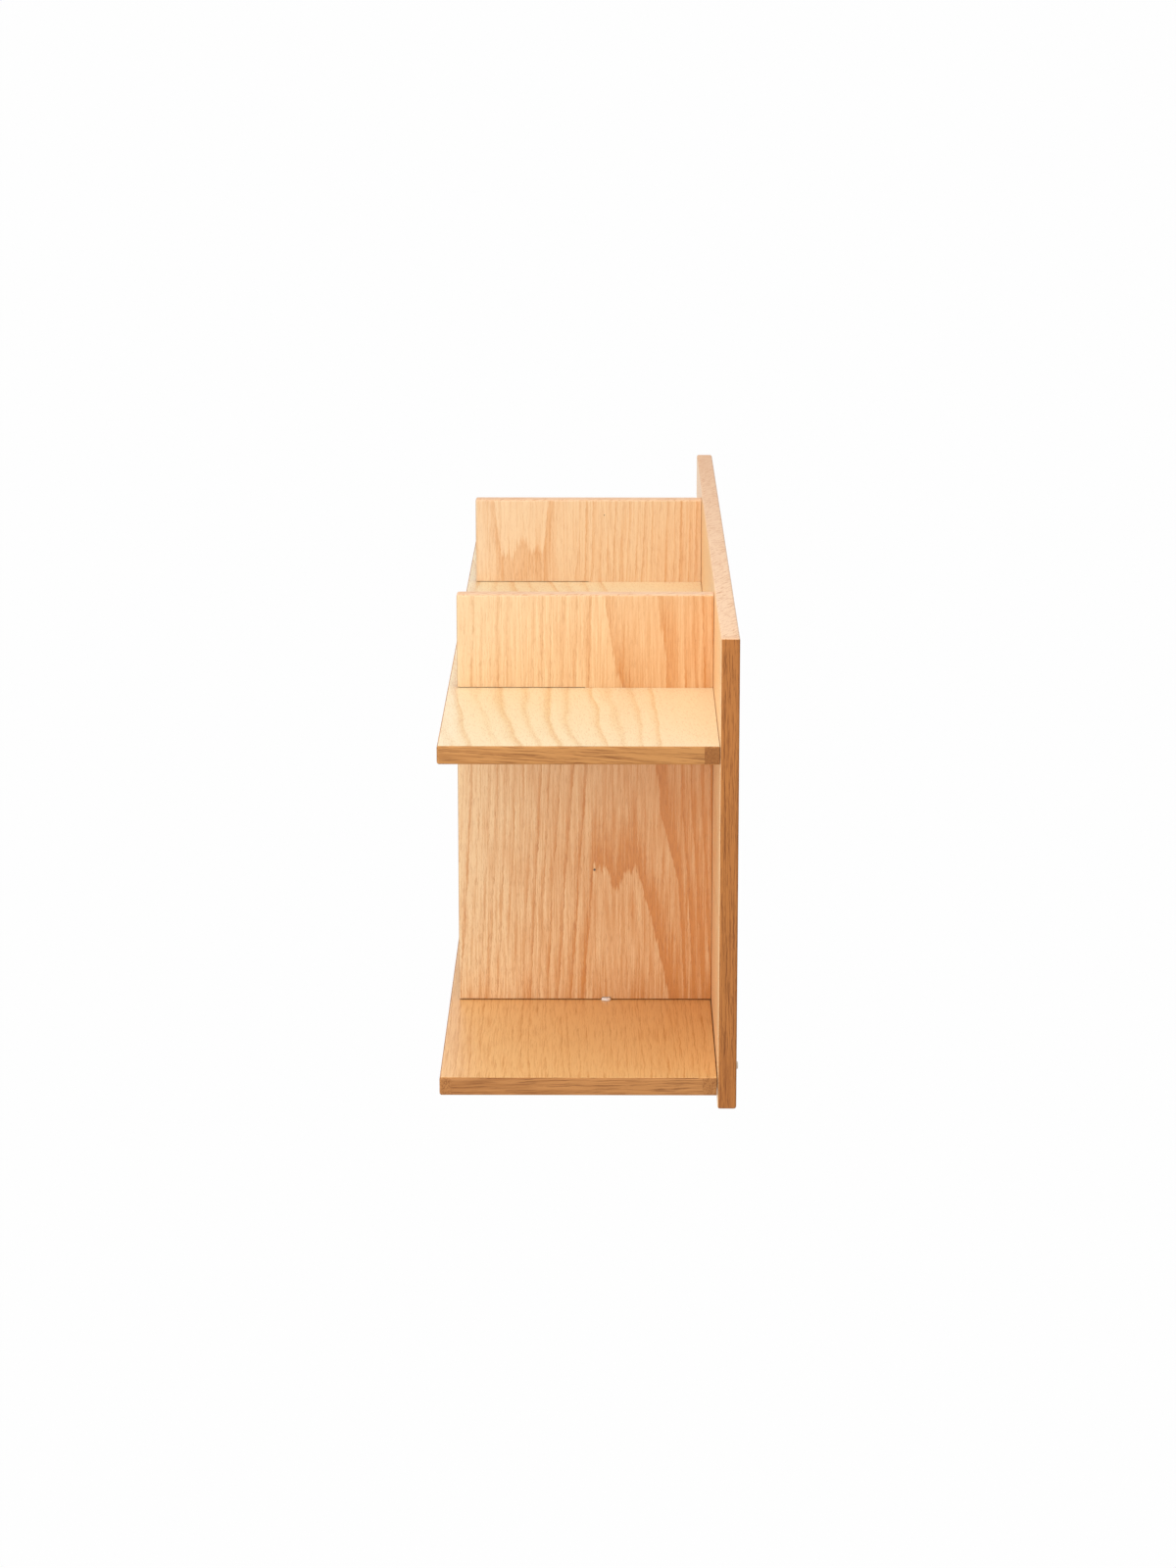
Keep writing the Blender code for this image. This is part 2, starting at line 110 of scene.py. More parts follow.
# %% [markdown]
# ## Blocks with softened edges
#
# A board starts as a cube that is added at its size and place. Its sharp edges could be bevelled one
# group at a time, but where a rounded edge runs into an eased one, two separate bevels leave a ragged
# corner. So the edges are selected in edit mode by the two sides that they join, each group gets its own
# bevel weight, and a single Bevel modifier then rounds them all together.

# %% A block, and the choice of its edges
ARRIS = 0.0025          # radius of the outer edges
EASED = 0.0006          # radius of the edges that meet another board
GLUE_LINE = 0.0001      # between a core and its lippings in the frame
ARRIS_STEPS = 6
SAME_PLANE = 0.0002     # two sides this close lie in one plane
FACING = 0.9            # a face with this much of its normal along an axis faces that way
SIDE_NAMES = (("left", "right"), ("front", "rear"), ("bottom", "top"))


def pick(piece):
    """Makes a piece the only selected one and the active one."""
    bpy.ops.object.select_all(action="DESELECT")
    piece.select_set(True)
    bpy.context.view_layer.objects.active = piece


def add_block(name, low, high):
    """A cube at its size and place, with both applied so that the object itself sits at the origin."""
    bpy.ops.object.select_all(action="DESELECT")
    bpy.ops.mesh.primitive_cube_add(size=1.0, location=(low + high) / 2, scale=high - low)
    bpy.ops.object.transform_apply(location=True, rotation=True, scale=True)
    block = bpy.context.object
    block.name = block.data.name = name
    return block


def side_of(normal):
    axis = max(range(3), key=lambda number: abs(normal[number]))
    return SIDE_NAMES[axis][normal[axis] > 0]


def select_parts(piece, kind, wanted):
    """Opens a piece in edit mode with the vertices, edges or faces selected that the test asks for."""
    pick(piece)
    bpy.ops.object.mode_set(mode="EDIT")
    bpy.ops.mesh.select_mode(type=kind)
    bpy.ops.mesh.select_all(action="DESELECT")
    cage = bmesh.from_edit_mesh(piece.data)
    cage.normal_update()
    parts = {"VERT": cage.verts, "EDGE": cage.edges, "FACE": cage.faces}[kind]
    for part in parts:
        part.select_set(wanted(part))
    cage.select_flush_mode()
    bmesh.update_edit_mesh(piece.data)


def apply_modifier(piece, kind, **settings):
    pick(piece)
    modifier = piece.modifiers.new(kind.lower(), kind)
    for setting, value in settings.items():
        setattr(modifier, setting, value)
    bpy.ops.object.modifier_apply(modifier=modifier.name)


# %% [markdown]
# ## The five boards
#
# In the frame, a hair's breadth lies between a core and its lippings. On the real boards they are glued
# tight and the veneer runs over the joint, so each piece grows by half of that gap on its inner sides.

# %% Shape the five boards
def outer_sides(node, low, high):
    """The sides of a node that lie on the outside of its whole board."""
    node_low, node_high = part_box(node)
    sides = set()
    for axis, (first, second) in enumerate(SIDE_NAMES):
        if abs(node_low[axis] - low[axis]) < SAME_PLANE:
            sides.add(first)
        if abs(node_high[axis] - high[axis]) < SAME_PLANE:
            sides.add(second)
    return sides


def finished_box(node, board, outer):
    """The box of a piece, grown where it is glued and trimmed where its seat doesn't close."""
    seat, trim = TRIMMED.get(board, ("", 0.0))
    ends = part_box(node)
    for axis, pair in enumerate(SIDE_NAMES):
        for end, side, way in zip(ends, pair, (-1, 1)):
            if side not in outer:
                end[axis] += way * GLUE_LINE / 2
            elif side == seat:
                end[axis] -= way * trim
    return ends


def shape_board(node, board):
    """One piece of a board, rounded where outer sides meet and eased where one of them meets a seat."""
    outer = outer_sides(node, *box_of(members(board)))
    seats = outer & set(SEATS[board])
    faces = outer - seats
    piece = add_block(node + "_oak", *finished_box(node, board, outer))

    def meets(edge, first, second):
        one, other = (side_of(face.normal) for face in edge.link_faces)
        return one in first and other in second or other in first and one in second

    for weight, partners in ((1.0, faces), (EASED / ARRIS, seats)):
        select_parts(piece, "EDGE", lambda edge: meets(edge, faces, partners))
        bpy.ops.transform.edge_bevelweight(value=weight)
        bpy.ops.object.mode_set(mode="OBJECT")
    apply_modifier(piece, "BEVEL", limit_method="WEIGHT", width=ARRIS, segments=ARRIS_STEPS)
    return piece


oak_pieces = {}
for board in THIN_AXIS:
    for node in members(board):
        oak_pieces[node] = shape_board(node, board)
print("shaped", len(oak_pieces), "oak pieces")

# %% [markdown]
# ## The halving joint
#
# Upright and upper shelf cross in a halving joint: the shelf is slotted from behind and the upright from
# the front, each to the middle of the upright's depth, so that the shelf's front edge stays whole. A
# joiner saws and chisels the slots. Here a block does the same as the cutter of a Boolean. Its limits
# come from the lippings, because these were already cut back by the same slots, and it runs a little past
# every face that it opens.

# %% Cut the slots
FIT = 0.0003            # between pieces that slide together or bear on each other
PAST = 0.002            # how far a cutter runs past the face that it opens


def cut_away(cutter, *pieces):
    """Takes a cutter's shape out of each piece, and then puts the cutter away."""
    for piece in pieces:
        apply_modifier(piece, "BOOLEAN", object=cutter, operation="DIFFERENCE", solver="MANIFOLD")
    bpy.data.meshes.remove(cutter.data)


for side in ("left", "right"):
    upright = side + "_upright"
    low, high = box_of(members(upright))
    halving = (low.y + high.y) / 2
    slot_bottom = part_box(upright + "_front_lipping_lower")[1].z
    slot_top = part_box(upright + "_front_lipping_upper")[0].z
    slot = add_block("upright_slot", Vector((low.x - PAST, low.y - PAST, slot_bottom)),
                     Vector((high.x + PAST, halving + FIT / 2, slot_top)))
    cut_away(slot, oak_pieces[upright])
    shelf_low, shelf_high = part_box("upper_shelf")
    slot = add_block("shelf_slot", Vector((low.x - FIT, halving - FIT / 2, shelf_low.z - PAST)),
                     Vector((high.x + FIT, shelf_high.y + PAST, shelf_high.z + PAST)))
    cut_away(slot, oak_pieces["upper_shelf"])
    print(side, "halving joint at Y", round(halving, 4), "slot", round(slot_top - slot_bottom, 4), "m high")

# %% [markdown]
# ## Turned shapes
#
# Screws, dowels, pegs and bumpers are round. Each could be spun from a profile, but growing it is easier
# to follow: a cone is added for the first stretch, and its end face is extruded and resized from station
# to station, as a turner works along a blank. All of them are modelled upright at the origin, and then
# turned and moved to their place.

# %% Grow a turned shape
ROUND_STEPS = 48
INTO_PANEL = (math.pi / 2, 0, 0)    # turns up into -Y, away from the wall
TO_WALL = (-math.pi / 2, 0, 0)      # turns up into +Y, towards the wall
UPRIGHT = (0, 0, 0)


def grow(name, stations):
    """A closed round shape through (height, radius) stations, standing at the origin."""
    (start, first), (top, second) = stations[:2]
    bpy.ops.object.select_all(action="DESELECT")
    bpy.ops.mesh.primitive_cone_add(vertices=ROUND_STEPS, radius1=first, radius2=second, depth=top - start,
                                    location=(0, 0, (start + top) / 2))
    bpy.ops.object.transform_apply(location=True, rotation=True, scale=True)
    piece = bpy.context.object
    piece.name = piece.data.name = name
    select_parts(piece, "FACE", lambda face: face.calc_center_median().z > top - SAME_PLANE / 2)
    for height, radius in stations[2:]:
        bpy.ops.mesh.extrude_region_move(TRANSFORM_OT_translate={"value": (0, 0, height - top)})
        share = radius / second
        bpy.ops.transform.resize(value=(share, share, 1.0), center_override=(0, 0, height))
        top, second = height, radius
    bpy.ops.object.mode_set(mode="OBJECT")
    return piece


def set_in_place(piece, place, turn):
    pick(piece)
    piece.location, piece.rotation_euler = place, turn
    bpy.ops.object.transform_apply(location=True, rotation=True, scale=True)
    return piece


def soften_ring(piece, height, width, steps):
    """Rounds the ring of edges at one height of a turned shape that still stands at the origin."""
    select_parts(piece, "EDGE",
                 lambda edge: all(abs(corner.co.z - height) < SAME_PLANE / 4 for corner in edge.verts))
    bpy.ops.mesh.bevel(offset=width, segments=steps, affect="EDGES", clamp_overlap=True)
    bpy.ops.object.mode_set(mode="OBJECT")


# %% [markdown]
# ## Bores for screws and dowels
#
# Ten screws go through the panel from behind, into the shelves and the uprights, and eight beech dowels
# line the boards up. Most of this is out of sight, but a finished board with a screw run straight through
# solid wood would be a wrong mesh. So each bore is grown with a little clearance, and cut from every
# piece that its box meets.

# %% Drill the boards
BOARD_SCREW = {"shank": 0.002, "head": 0.0025, "tip": 0.006}
HANGER_SCREW = {"shank": 0.0015, "head": 0.0014, "tip": 0.003}
POINT = 0.0003          # radius left at a screw's point


def screw_stations(radius, length, shank, head, tip, spare=0.0):
    """A countersunk screw from its head's top, with spare room all round when it is to be a bore."""
    stations = [(0.0, radius + spare), (head, shank + spare), (length - tip, shank + spare),
                (length + spare, POINT + spare)]
    return [(-PAST, radius + spare)] + stations if spare else stations


def screw_size(node):
    low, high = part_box(node)
    kind = HANGER_SCREW if "hanger" in node else BOARD_SCREW
    place = Vector(((low.x + high.x) / 2, high.y, (low.z + high.z) / 2))
    return place, {"radius": (high.x - low.x) / 2, "length": high.y - low.y, **kind}


def dowel_bore(node):
    low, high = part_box(node)
    size = high - low
    standing = size.z > size.y
    length = (size.z if standing else size.y) / 2 + FIT
    bore = grow("bore", [(-length, size.x / 2 + FIT), (length, size.x / 2 + FIT)])
    return set_in_place(bore, (low + high) / 2, UPRIGHT if standing else INTO_PANEL)


def overlaps(piece, cutter):
    corners = [[Vector(corner) for corner in item.bound_box] for item in (piece, cutter)]
    for axis in range(3):
        one, other = ([corner[axis] for corner in each] for each in corners)
        if min(one) > max(other) or min(other) > max(one):
            return False
    return True


bores = 0
for node in sorted(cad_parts):
    if "_screw_" in node:
        place, size = screw_size(node)
        bore = set_in_place(grow("bore", screw_stations(**size, spare=FIT)), place, INTO_PANEL)
    elif "_dowel_" in node:
        bore = dowel_bore(node)
    else:
        continue
    drilled = [piece for piece in oak_pieces.values() if overlaps(piece, bore)]
    cut_away(bore, *drilled)
    bores += len(drilled)
print("drilled", bores, "bores")

# %% [markdown]
# ## Foot pegs
#
# A white plastic peg stands in the lower shelf beside each upright, with its domed collar about half let
# into the upright's foot. From the end of the shelf it shows as a small white lens in a dark notch. The
# collar and the notch are the same domed shape, the notch a little larger, so both come from one
# function: a short cylinder whose upper rim is rounded almost to its middle.

# %% Model the pegs and cut their seats
PEG_SHANK = 0.003
PEG_RIM = 0.0005        # straight part of the collar's side
NOTCH_ROOM = 0.0006
DOME_STEPS, TIP_STEPS = 10, 3


def domed_collar(name, radius, height, below=0.0):
    collar = grow(name, [(-below, radius), (height, radius)])
    soften_ring(collar, height, height - PEG_RIM, DOME_STEPS)
    return collar


def add_shank(peg, length):
    """Insets the collar's underside to the shank's radius, and extrudes the shank down from it."""
    select_parts(peg, "FACE", lambda face: face.normal.z < -FACING)
    rim = max(vertex.co.x for vertex in peg.data.vertices)
    bpy.ops.mesh.inset(thickness=rim - PEG_SHANK)
    bpy.ops.mesh.extrude_region_move(TRANSFORM_OT_translate={"value": (0, 0, -length)})
    bpy.ops.object.mode_set(mode="OBJECT")
    soften_ring(peg, -length, PEG_RIM, TIP_STEPS)


pegs = {}
for side in ("left", "right"):
    node = side + "_foot_peg"
    low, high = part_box(node)
    shelf_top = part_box("lower_shelf")[1].z + FIT
    foot = Vector(((low.x + high.x) / 2, (low.y + high.y) / 2, shelf_top))
    radius, height = (high.y - low.y) / 2, high.z - shelf_top
    pegs[node] = domed_collar(node + "_plastic", radius, height)
    add_shank(pegs[node], shelf_top - low.z)
    set_in_place(pegs[node], foot, UPRIGHT)
    notch = domed_collar("notch", radius + NOTCH_ROOM, height + NOTCH_ROOM, PAST)
    cut_away(set_in_place(notch, foot, UPRIGHT), oak_pieces[side + "_upright"])
    hole = grow("hole", [(low.z - shelf_top - FIT, PEG_SHANK + FIT), (PAST, PEG_SHANK + FIT)])
    cut_away(set_in_place(hole, foot, UPRIGHT), oak_pieces["lower_shelf"])
    print(node, "stands", round(height, 4), "m above the shelf")

# %% [markdown]
# ## Keyhole plates
#
# The shelf hangs on two steel plates on the back of its panel. Each is punched from sheet: rounded
# corners, a round entry for the head of the wall screw, a narrow slot above it, and two countersunk
# holes. The plate is a block whose four corners are bevelled, and its holes are cut with grown cutters
# and one block. The panel has a pocket behind the keyhole, so that the wall screw's head has room.

# %% Model the plates and their pockets
PLATE_CORNER, CORNER_STEPS = 0.004, 8
PLATE_EDGE, EDGE_STEPS = 0.0003, 3
ENTRY, SLOT = 0.005, 0.0026             # radius of the entry hole and of the slot's end
ENTRY_DROP, SLOT_RISE = 0.006, 0.012    # entry below the plate's middle, and the slot's end above the entry
POCKET_ROOM, POCKET_DEPTH = 0.0015, 0.009


def cut_keyhole(plate, middle, thick):
    """The entry, the slot and the slot's round end."""
    entry = middle - Vector((0, 0, ENTRY_DROP))
    for rise, radius in ((0.0, ENTRY), (SLOT_RISE, SLOT)):
        hole = grow("hole", [(-thick, radius), (thick, radius)])
        cut_away(set_in_place(hole, entry + Vector((0, 0, rise)), INTO_PANEL), plate)
    half = Vector((SLOT, thick, 0))
    slot = add_block("slot", entry - half, entry + half + Vector((0, 0, SLOT_RISE)))
    cut_away(slot, plate)
    return entry


plates = {}
panel_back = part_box("back_panel")[1].y
for side in ("left", "right"):
    node = side + "_hanger"
    low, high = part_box(node)
    plate = plates[node] = add_block(node + "_steel", low, high)
    select_parts(plate, "EDGE", lambda edge: abs((edge.verts[0].co - edge.verts[1].co).y) > SAME_PLANE)
    bpy.ops.mesh.bevel(offset=PLATE_CORNER, segments=CORNER_STEPS, affect="EDGES")
    bpy.ops.object.mode_set(mode="OBJECT")
    rim = high.y - PLATE_EDGE
    select_parts(plate, "EDGE", lambda edge: all(corner.co.y > rim for corner in edge.verts))
    bpy.ops.mesh.bevel(offset=PLATE_EDGE, segments=EDGE_STEPS, affect="EDGES")
    bpy.ops.object.mode_set(mode="OBJECT")
    entry = cut_keyhole(plate, (low + high) / 2, high.y - low.y)
    for label in ("lower", "upper"):
        place, size = screw_size(f"{node}_screw_{label}")
        cut_away(set_in_place(grow("bore", screw_stations(**size, spare=FIT)), place, INTO_PANEL), plate)
    room = ENTRY + POCKET_ROOM
    pocket = add_block("pocket", Vector((entry.x - room, panel_back - POCKET_DEPTH, entry.z - room)),
                       Vector((entry.x + room, panel_back + PAST, entry.z + SLOT_RISE + room)))
    cut_away(pocket, oak_pieces["back_panel"])
    print(node, "has", len(plate.data.polygons), "faces")

# %% [markdown]
# ## Screws and bumpers
#
# From behind, the screws show their countersunk heads, each with a cross recess. The recess is two
# crossed wedges that a Boolean takes out of the head. The bumpers are small pads of clear rubber that
# keep the panel off the wall: short cylinders with a rounded rim on the wall side.

# %% Model the screws
RECESS_LENGTH, RECESS_WIDTH, RECESS_DEPTH = 0.62, 0.16, 0.30    # shares of the head's diameter
RECESS_TAPER = (0.35, 0.6, 1.0)         # share of its size that a wing keeps at its inner end


def cross_wedge(diameter, turn):
    """One wing of the recess: a block whose inner end is drawn in, standing at the origin."""
    half = Vector((RECESS_LENGTH, RECESS_WIDTH, 0)) * diameter / 2
    depth = RECESS_DEPTH * diameter
    wedge = add_block("wedge", -half - Vector((0, 0, PAST)), half + Vector((0, 0, depth)))
    select_parts(wedge, "FACE", lambda face: face.normal.z > FACING)
    bpy.ops.transform.resize(value=RECESS_TAPER, center_override=(0, 0, depth))
    bpy.ops.object.mode_set(mode="OBJECT")
    return set_in_place(wedge, (0, 0, 0), (0, 0, turn))


screws = {}
for node in sorted(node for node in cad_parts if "_screw_" in node):
    place, size = screw_size(node)
    screw = grow(node + "_zinc", screw_stations(**size))
    for turn in (math.pi / 4, -math.pi / 4):
        cut_away(cross_wedge(2 * size["radius"], turn), screw)
    screws[node] = set_in_place(screw, place, INTO_PANEL)
print("made", len(screws), "screws")

# %% Model the bumpers
BUMPER_RIM, RIM_STEPS = 0.0009, 8

bumpers = {}
for side in ("left", "right"):
    node = side + "_bumper"
    low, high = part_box(node)
    radius, thick = (high.x - low.x) / 2, high.y - low.y
    pad = grow(node + "_rubber", [(0.0, radius), (thick, radius)])
    soften_ring(pad, thick, BUMPER_RIM, RIM_STEPS)
    bumpers[node] = set_in_place(pad, Vector(((low.x + high.x) / 2, low.y, (low.z + high.z) / 2)), TO_WALL)
print("made", len(bumpers), "bumpers")

# %% [markdown]
# ## Smooth shading that keeps the flats flat
#
# Rounded edges should shade smoothly and the wide faces should stay flat. Smoothing by angle alone lets
# the roundings bend the light on the flats beside them, so a Weighted Normal modifier follows, which
# gives large faces the last word. Each piece then rides on the shelf's one body and stands for its solid.

# %% Finish the surfaces and tie them to the frame
SMOOTH_ANGLE = math.radians(40)
SLOTS = (
    (plates, "hanger_steel"), (screws, "zinc_screw"), (bumpers, "bumper"), (pegs, "white_plastic"),
    ({node: piece for node, piece in oak_pieces.items() if "lipping" in node}, "oak_lipping"),
    ({node: piece for node, piece in oak_pieces.items() if "lipping" not in node}, "oak_veneer"),
)


def finish_surface(piece):
    pick(piece)
    bpy.ops.object.shade_smooth_by_angle(angle=SMOOTH_ANGLE)
    apply_modifier(piece, "WEIGHTED_NORMAL", keep_sharp=True)


for pieces, slot in SLOTS:
    for node, piece in pieces.items():
        finish_surface(piece)
        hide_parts(node)
        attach(piece, "root")
    print(slot, "is on", len(pieces), "pieces")

# %% [markdown]
# ## Building blocks for the finishes
#
# Every finish is a small network of nodes on Object coordinates. Each piece sits at the origin with its
# place in its mesh, so these coordinates are metres on the real shelf, and a figure in the oak runs on
# from a core to its lippings without a break. A few short functions keep the networks readable: one sets
# or links a socket, one adds a Math node, one adds noise that is stretched along the grain.

# %% Node helpers
NOISE_SHIFT = (1.0, 0.37, 0.71)         # the way in which noises are shifted apart
MIX_INPUTS, MIX_RESULT = (6, 7), 2      # colour sockets of a Mix node


def wire(tree, socket, value):
    if isinstance(value, bpy.types.NodeSocket):
        tree.links.new(value, socket)
    else:
        socket.default_value = value


def maths(tree, operation, *values):
    step = tree.nodes.new("ShaderNodeMath")
    step.operation = operation
    for socket, value in zip(step.inputs, values):
        wire(tree, socket, value)
    return step.outputs[0]


def scale_add(tree, value, factor, base):
    """A value times a factor, plus a base."""
    return maths(tree, "MULTIPLY_ADD", value, factor, base)


def stretched_noise(tree, place, scale, shift, detail=2.0):
    """Noise with its own scale on each axis, so that it can be drawn out along the grain."""
    stretch = tree.nodes.new("ShaderNodeVectorMath")
    stretch.operation = "MULTIPLY_ADD"
    wire(tree, stretch.inputs[0], place)
    stretch.inputs[1].default_value = scale
    stretch.inputs[2].default_value = [shift * part for part in NOISE_SHIFT]
    texture = tree.nodes.new("ShaderNodeTexNoise")
    wire(tree, texture.inputs["Vector"], stretch.outputs[0])
    texture.inputs["Scale"].default_value = 1.0
    texture.inputs["Detail"].default_value = detail
    return texture.outputs["Fac"]


def ramp(tree, value, *stops):
    """A colour ramp used as a curve, from (position, grey) stops."""
    step = tree.nodes.new("ShaderNodeValToRGB")
    step.color_ramp.elements.remove(step.color_ramp.elements[1])
    for number, (position, grey) in enumerate(stops):
        element = step.color_ramp.elements[0] if number == 0 else step.color_ramp.elements.new(position)
        element.position = position
        element.color = (grey, grey, grey, 1.0)
    wire(tree, step.inputs[0], value)
    return step.outputs["Color"]


def mix_colours(tree, amount, *colours):
    """From the first colour to the second. Each is a socket, or red, green and blue."""
    step = tree.nodes.new("ShaderNodeMix")
    step.data_type = "RGBA"
    wire(tree, step.inputs[0], amount)
    for number, colour in zip(MIX_INPUTS, colours):
        made = isinstance(colour, bpy.types.NodeSocket)
        wire(tree, step.inputs[number], colour if made else (*colour, 1.0))
    return step.outputs[MIX_RESULT]


def new_finish(name):
    finish = bpy.data.materials.new(name)
    finish.use_nodes = True
    tree = finish.node_tree
    return finish, tree, tree.nodes["Principled BSDF"]


def place_on_shelf(tree):
    return tree.nodes.new("ShaderNodeTexCoord").outputs["Object"]


def add_bump(tree, shader, height, distance, strength):
    bump = tree.nodes.new("ShaderNodeBump")
    bump.inputs["Distance"].default_value = distance
    bump.inputs["Strength"].default_value = strength
    wire(tree, bump.inputs["Height"], height)
    tree.links.new(bump.outputs["Normal"], shader.inputs["Normal"])


# %% [markdown]
# ## Oak as a leaf of a log
#
# Grain is not a stripe painted on a board. It is where the knife went through the rings of a trunk. Over
# the heart of the log the knife runs almost along a ring, so each ring shows there as one tall arch.
# Further out it meets the rings steeply, and they show as close, straight stripes. A wave texture gives
# the stripes, but never an arch. So this finish counts rings: slowly along the grain, faster across the
# flanks of an arch, and fastest in the stripes. Each ring starts with a sharp band of open pores and
# fades into dense pale wood. Noise that is stretched along the grain bends the rings and frays their
# edges.

# %% What sets one leaf apart from another
RING_CURVE = (                          # how dark a ring is, from its start to its end
    (0.0, 1.0), (0.1, 0.8), (0.22, 0.5), (0.42, 0.18), (0.65, 0.03), (0.8, 0.0), (0.975, 0.0), (1.0, 1.0),
)
SOFT_CURVE = (0.0, 0.3), (0.08, 1.0), (0.2, 0.75), (0.4, 0.2), (0.65, 0.0), (0.9, 0.0), (1.0, 0.3)
LEAF = {
    "heart": 0.0,                       # where the heart lies across the face
    "slant": 0.0,                       # how far the grain runs across, per metre
    "rise": 2.6,                        # rings per metre along the grain
    "bend": (0.0, 0.0),                 # a place along the grain, and more rings per metre beyond it
    "crown": None,                      # a leaning arch: where it starts and is whole along the grain, its
                                        # start across, its tilt, its width and its rings per metre
    "spread": ((0.025, 28.0, 28.0), (0.066, 85.0, 85.0)),   # more rings per metre from here, left and right
    "phase": 0.0,                       # shifts the count of rings
    "notch": (0.0, 0.008),              # a dent in the arches: its depth in rings and half its width
    "wander": (0.006, 9.0, 4.0),        # sideways shift of the rings, with its scale across and along
    "ripple": (0.0009, 130.0, 170.0),   # sideways shift of every fibre
    "swell": (0.05, 50.0, 12.0),        # shift in rings, with its scale across and along
    "fray": (0.07, 480.0, 16.0),        # the same, but fine, for ragged edges
    "uneven": 0.9,                      # how far the rings depart from an even width
    "curve": RING_CURVE,                # how a ring's darkness runs
    "figure": 0.85,                     # strength of the dark bands
    "swing": 0.0,                       # how much stronger they grow, per metre across
    "warmth": 0.0,                      # how far the wood leans to its warm colour
    "slide": 0.0,                       # how much warmer it grows, per metre across
    "drift": 0.0,                       # and per metre along the grain
    "streaks": 1.0,                     # strength of the fine lines along the grain
    "close": 1.0,                       # how much closer than usual those lines lie
    # On the uprights, fade is painted light: the grain washes out towards the brightly lit top.
    "fade": 0.0,                        # how much weaker the whole grain grows, per metre along it
    "pores": 0.32,                      # how dark the pores are
    "pore_scale": (1300.0, 80.0),       # how close they lie, across and along
    "end_grain": 0.0,                   # how much darker the cut ends are
    "gloss": 0.5,                       # weight of the lacquer's own shine
    "specular": 0.5,                    # the shine of the wood below it
    "knot": None,                       # across, along and radius of a pin knot
    "draw": 0.0,                        # gives the rings other strengths
    "seed": 0.0,                        # gives all its noise another place
}
OTHER_SIDE = 2.5, 35.0  # shift across and in rings, per metre of depth, so that the back has its own figure
DRAWS = {               # added to a leaf's seed, so that each of its noises differs
    "ripple": 1.9, "wander": 3.1, "swell": 7.7, "fray": 8.7, "lines": 11.0, "pores": 23.0, "flecks": 29.0,
}
UNEVEN_SCALE = 0.6      # of the noise that makes rings uneven, in rings
RING_STRENGTH = 0.4, 0.6    # least strength of a ring, and what a draw may add to it
print("a leaf is described by", len(LEAF), "values")


# %% Rings in a leaf
def sway(tree, place, wide, long, shift, detail=3.0):
    """Noise about zero, with one scale across the grain and one along it."""
    return maths(tree, "SUBTRACT", stretched_noise(tree, place, (wide, wide, long), shift, detail), 0.5)


def point(tree, *sockets):
    join = tree.nodes.new("ShaderNodeCombineXYZ")
    for socket, value in zip(join.inputs, sockets):
        tree.links.new(value, socket)
    return join.outputs[0]


def leaf_place(tree, axes, leaf):
    """The point in the leaf's own terms: across, depth and along the grain, with a ripple in its fibres."""
    parts = tree.nodes.new("ShaderNodeSeparateXYZ")
    tree.links.new(place_on_shelf(tree), parts.inputs[0])
    along, across, depth = (parts.outputs[axis] for axis in axes)
    if leaf["slant"]:
        across = scale_add(tree, along, leaf["slant"], across)
    amount, wide, long = leaf["ripple"]
    ripple = sway(tree, point(tree, across, depth, along), wide, long, leaf["seed"] + DRAWS["ripple"], 1.0)
    across = scale_add(tree, ripple, 2 * amount, across)
    return point(tree, across, depth, along), (across, depth, along)


def bell(tree, value, width):
    """1 at zero, falling off to both sides."""
    square = maths(tree, "MULTIPLY", value, value)
    return maths(tree, "EXPONENT", maths(tree, "MULTIPLY", square, -1 / width ** 2))


def past(tree, value, start):
    """How far a value is past a start, and 0 before it."""
    return maths(tree, "MAXIMUM", maths(tree, "SUBTRACT", value, start), 0.0)


def rings(tree, place, sockets, face, leaf):
    """Counts rings on the leaf, and gives the distance across from the heart."""
    across, depth, along = sockets
    inside = maths(tree, "SUBTRACT", face, depth)
    shift, more = OTHER_SIDE
    aside = scale_add(tree, inside, shift, maths(tree, "SUBTRACT", across, leaf["heart"]))
    amount, wide, long = leaf["wander"]
    noise = sway(tree, place, wide, long, leaf["seed"] + DRAWS["wander"], 2.0)
    aside = scale_add(tree, noise, 2 * amount, aside)
    count = scale_add(tree, along, leaf["rise"], leaf["phase"])
    count = scale_add(tree, inside, more, count)
    start, extra = leaf["bend"]
    if extra:
        count = scale_add(tree, past(tree, along, start), extra, count)
    if leaf["crown"]:
        bottom, top, start, tilt, width, density = leaf["crown"]
        inward = past(tree, scale_add(tree, along, tilt, aside), start)
        height = ramp(tree, along, (bottom, 0.0), (top, 1.0))
        tongue = maths(tree, "MULTIPLY", maths(tree, "MINIMUM", inward, width), height)
        count = scale_add(tree, tongue, density, count)
    for start, *densities in leaf["spread"]:
        for way, density in zip((-1.0, 1.0), densities):
            outward = past(tree, maths(tree, "MULTIPLY", aside, way), start)
            count = scale_add(tree, outward, density, count)
    dent, width = leaf["notch"]
    if dent:
        count = scale_add(tree, bell(tree, aside, width), dent, count)
    for unrest in ("swell", "fray"):
        amount, wide, long = leaf[unrest]
        noise = sway(tree, place, wide, long, leaf["seed"] + DRAWS[unrest])
        count = scale_add(tree, noise, 2 * amount, count)
    return count, aside


